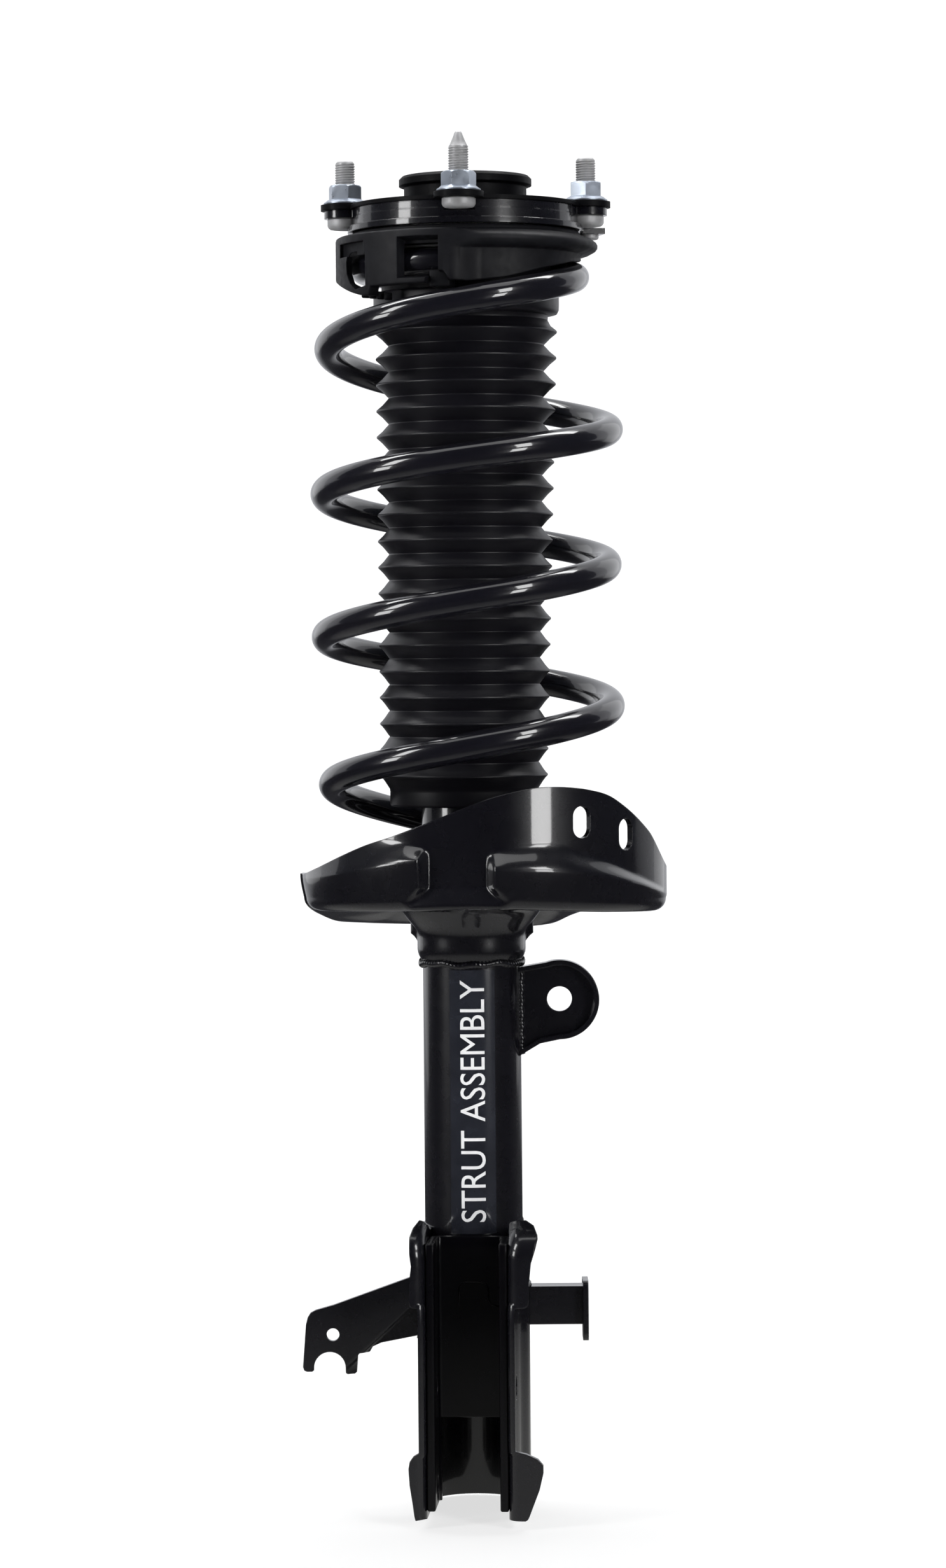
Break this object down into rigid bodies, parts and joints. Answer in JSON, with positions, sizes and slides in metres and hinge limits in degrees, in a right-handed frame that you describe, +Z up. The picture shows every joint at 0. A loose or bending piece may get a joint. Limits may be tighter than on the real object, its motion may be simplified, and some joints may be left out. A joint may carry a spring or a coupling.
{
  "type": "strut assembly",
  "caption": "MacPherson strut with coil spring, pleated dust boot, bearing top mount with studs, lower spring pan, stabiliser link lug and clevis knuckle bracket.",
  "frame": {"origin": "on the damper axis, at the seating plane of the top mount, which is the face its four nuts rest on and the centre of its stud circle", "axes": "+Z up along the damper axis, out of the top mount; -Y towards the pointed pilot stud and the open front of the knuckle bracket; +X towards the stabiliser link lug"},
  "size_m": [0.1848, 0.184, 0.6787],
  "materials": {
    "black_paint": "gloss",
    "spring_paint": "gloss",
    "zinc": "satin",
    "steel": "satin",
    "chrome_rod": "polished",
    "rubber": "matte",
    "black_plastic": "matte",
    "pale_plastic": "matte",
    "foam": "matte",
    "label": "gloss",
    "alloy": "satin"
  },
  "bodies": {
    "mount": {"mount_upper_plate": "black_paint", "mount_lower_plate": "black_paint", "mount_crown": "black_paint", "mount_rubber": "rubber", "mount_core": "steel", "mount_studs": "steel", "pilot_stud": "steel", "flange_nuts": "zinc", "tab_pin": "steel", "rod_washer": "zinc", "rod_top_nut": "zinc", "piston_rod": "chrome_rod", "rebound_stop": "steel", "piston": "alloy", "piston_band": "black_plastic", "piston_valve_discs": "steel", "piston_nut": "steel", "bump_stop": "foam", "bearing_upper_race": "steel"},
    "bearing": {"bearing_balls": "steel", "bearing_cage": "pale_plastic"},
    "upper_seat": {"upper_spring_seat": "black_plastic", "upper_spring_isolator": "rubber", "bearing_lower_race": "steel", "coil_spring": "spring_paint", "dust_boot": "rubber"},
    "strut_body": {"outer_tube": "black_paint", "base_cap": "steel", "base_valve": "alloy", "inner_cylinder": "steel", "rod_guide": "alloy", "rod_seal": "rubber", "tube_top_cap": "black_paint", "lower_spring_seat": "black_paint", "lower_spring_pad": "rubber", "knuckle_bracket_outer": "black_paint", "knuckle_bracket_inner": "black_paint", "stabilizer_link_bracket": "black_paint", "hose_bracket": "black_paint", "sensor_bracket": "black_paint", "tube_label": "label"}
  },
  "joints": [
    {"name": "steering_swivel", "type": "hinge", "parent": "mount", "child": "upper_seat", "pos_m": [0, 0, 0], "axis": [0, 0, 1], "range_deg": [-42, 42]},
    {"name": "bearing_roll", "type": "hinge", "parent": "mount", "child": "bearing", "pos_m": [0, 0, 0], "axis": [0, 0, 1], "range_deg": [-21, 21]},
    {"name": "damper_stroke", "type": "slide", "parent": "upper_seat", "child": "strut_body", "axis": [0, 0, 1], "range_m": [0, 0.128], "deforming": ["coil_spring", "dust_boot"]}
  ],
  "couplings": [
    {"joint": "bearing_roll", "follows": "steering_swivel", "ratio": 0.5}
  ]
}
